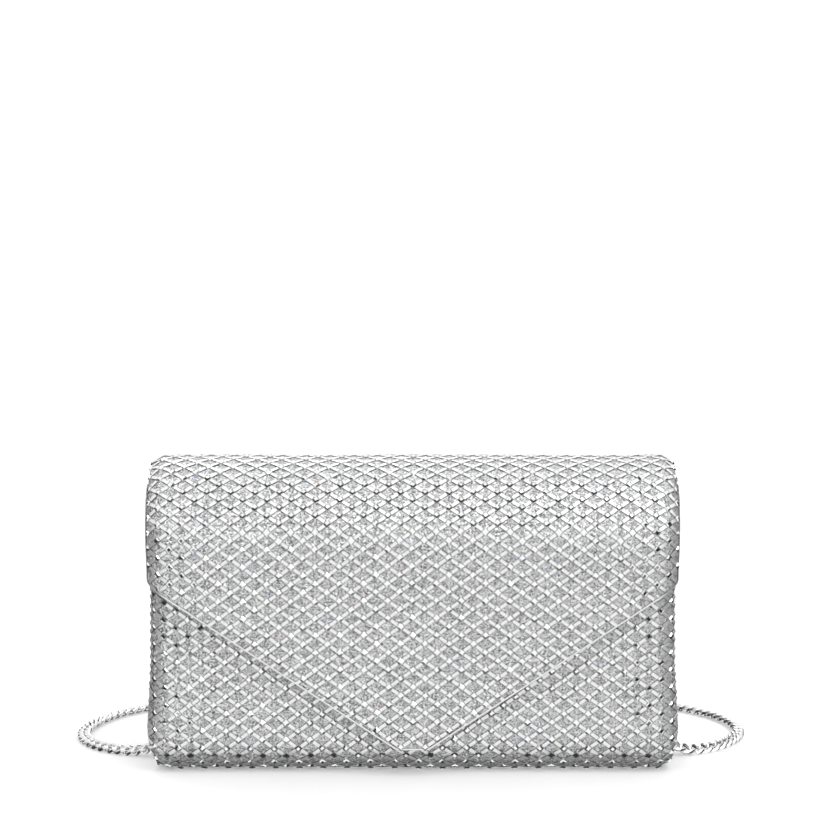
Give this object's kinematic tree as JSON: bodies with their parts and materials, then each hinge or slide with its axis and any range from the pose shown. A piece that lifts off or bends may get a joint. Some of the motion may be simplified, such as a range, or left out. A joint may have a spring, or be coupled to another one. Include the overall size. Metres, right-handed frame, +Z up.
{
  "type": "evening clutch bag",
  "caption": "Envelope evening clutch with a pointed two-fold flap, studded glitter fabric, folded gussets, magnetic snap and a chain strap on swivel clasps.",
  "frame": {"origin": "middle of the closed bag's footprint, on the surface it stands on, without the strap", "axes": "+Z up, +X along the bag's width, to the right seen from the front, -Y out of the front, where the flap's point is"},
  "size_m": [0.3383, 0.1572, 0.148],
  "materials": {
    "glitter_fabric": "silver glitter fabric with a raised diamond lattice of foil strips and mirror studs",
    "stiffener_board": "grey-brown fibre board",
    "foam": "soft white foam sheet",
    "satin_lining": "silver-grey satin",
    "silver_trim": "metallic silver coated leather cloth",
    "hardware": "polished silver plating",
    "chain_metal": "polished silver plated curb chain"
  },
  "bodies": {
    "bag_body": {"front_skin": "glitter_fabric", "base_skin": "glitter_fabric", "back_skin": "glitter_fabric", "front_board": "stiffener_board", "base_board": "stiffener_board", "back_board": "stiffener_board", "edge_foam": "foam", "front_lining": "satin_lining", "base_lining": "satin_lining", "back_lining": "satin_lining", "front_binding": "glitter_fabric", "gusset_left": "silver_trim", "gusset_right": "silver_trim", "gusset_lining_left": "satin_lining", "gusset_lining_right": "satin_lining", "slip_pocket": "satin_lining", "pocket_binding": "silver_trim", "snap_socket": "hardware", "snap_socket_plate": "hardware", "ring_tab_left": "silver_trim", "ring_tab_right": "silver_trim", "d_ring_left": "hardware", "d_ring_right": "hardware", "swivel_eye_left": "hardware", "swivel_eye_right": "hardware", "chain_left": "chain_metal", "chain_right": "chain_metal", "chain_coil": "chain_metal"},
    "flap_top": {"flap_top_skin": "glitter_fabric", "flap_foam": "foam", "flap_top_lining": "satin_lining"},
    "flap_front": {"flap_front_skin": "glitter_fabric", "flap_board": "stiffener_board", "flap_front_lining": "satin_lining", "snap_stud": "hardware", "snap_stud_plate": "hardware"},
    "clasp_left": {"clasp_left": "hardware", "gate_pin_left": "hardware", "gate_spring_left": "hardware"},
    "clasp_right": {"clasp_right": "hardware", "gate_pin_right": "hardware", "gate_spring_right": "hardware"},
    "gate_left": {"gate_left": "hardware"},
    "gate_right": {"gate_right": "hardware"}
  },
  "joints": [
    {"name": "flap_top_fold", "type": "hinge", "parent": "bag_body", "child": "flap_top", "pos_m": [0, 0.02819, 0.13763], "axis": [-1, 0, 0], "range_deg": [0, 175]},
    {"name": "flap_front_fold", "type": "hinge", "parent": "flap_top", "child": "flap_front", "pos_m": [0, -0.02243, 0.11553], "axis": [-1, 0, 0], "range_deg": [0, 60]},
    {"name": "swivel_left", "type": "hinge", "parent": "bag_body", "child": "clasp_left", "pos_m": [-0.11505, 0.003, 0.06614], "axis": [0, 0, 1], "range_deg": [-25, 25]},
    {"name": "swivel_right", "type": "hinge", "parent": "bag_body", "child": "clasp_right", "pos_m": [0.11505, 0.003, 0.06614], "axis": [0, 0, 1], "range_deg": [-25, 25]},
    {"name": "gate_left_hinge", "type": "hinge", "parent": "clasp_left", "child": "gate_left", "pos_m": [-0.11945, 0.003, 0.07674], "axis": [0, 1, 0], "range_deg": [0, 25], "stiffness_Nm_per_rad": 0.004, "springref_deg": -34.38},
    {"name": "gate_right_hinge", "type": "hinge", "parent": "clasp_right", "child": "gate_right", "pos_m": [0.11945, 0.003, 0.07674], "axis": [0, -1, 0], "range_deg": [0, 25], "stiffness_Nm_per_rad": 0.004, "springref_deg": -34.38}
  ]
}
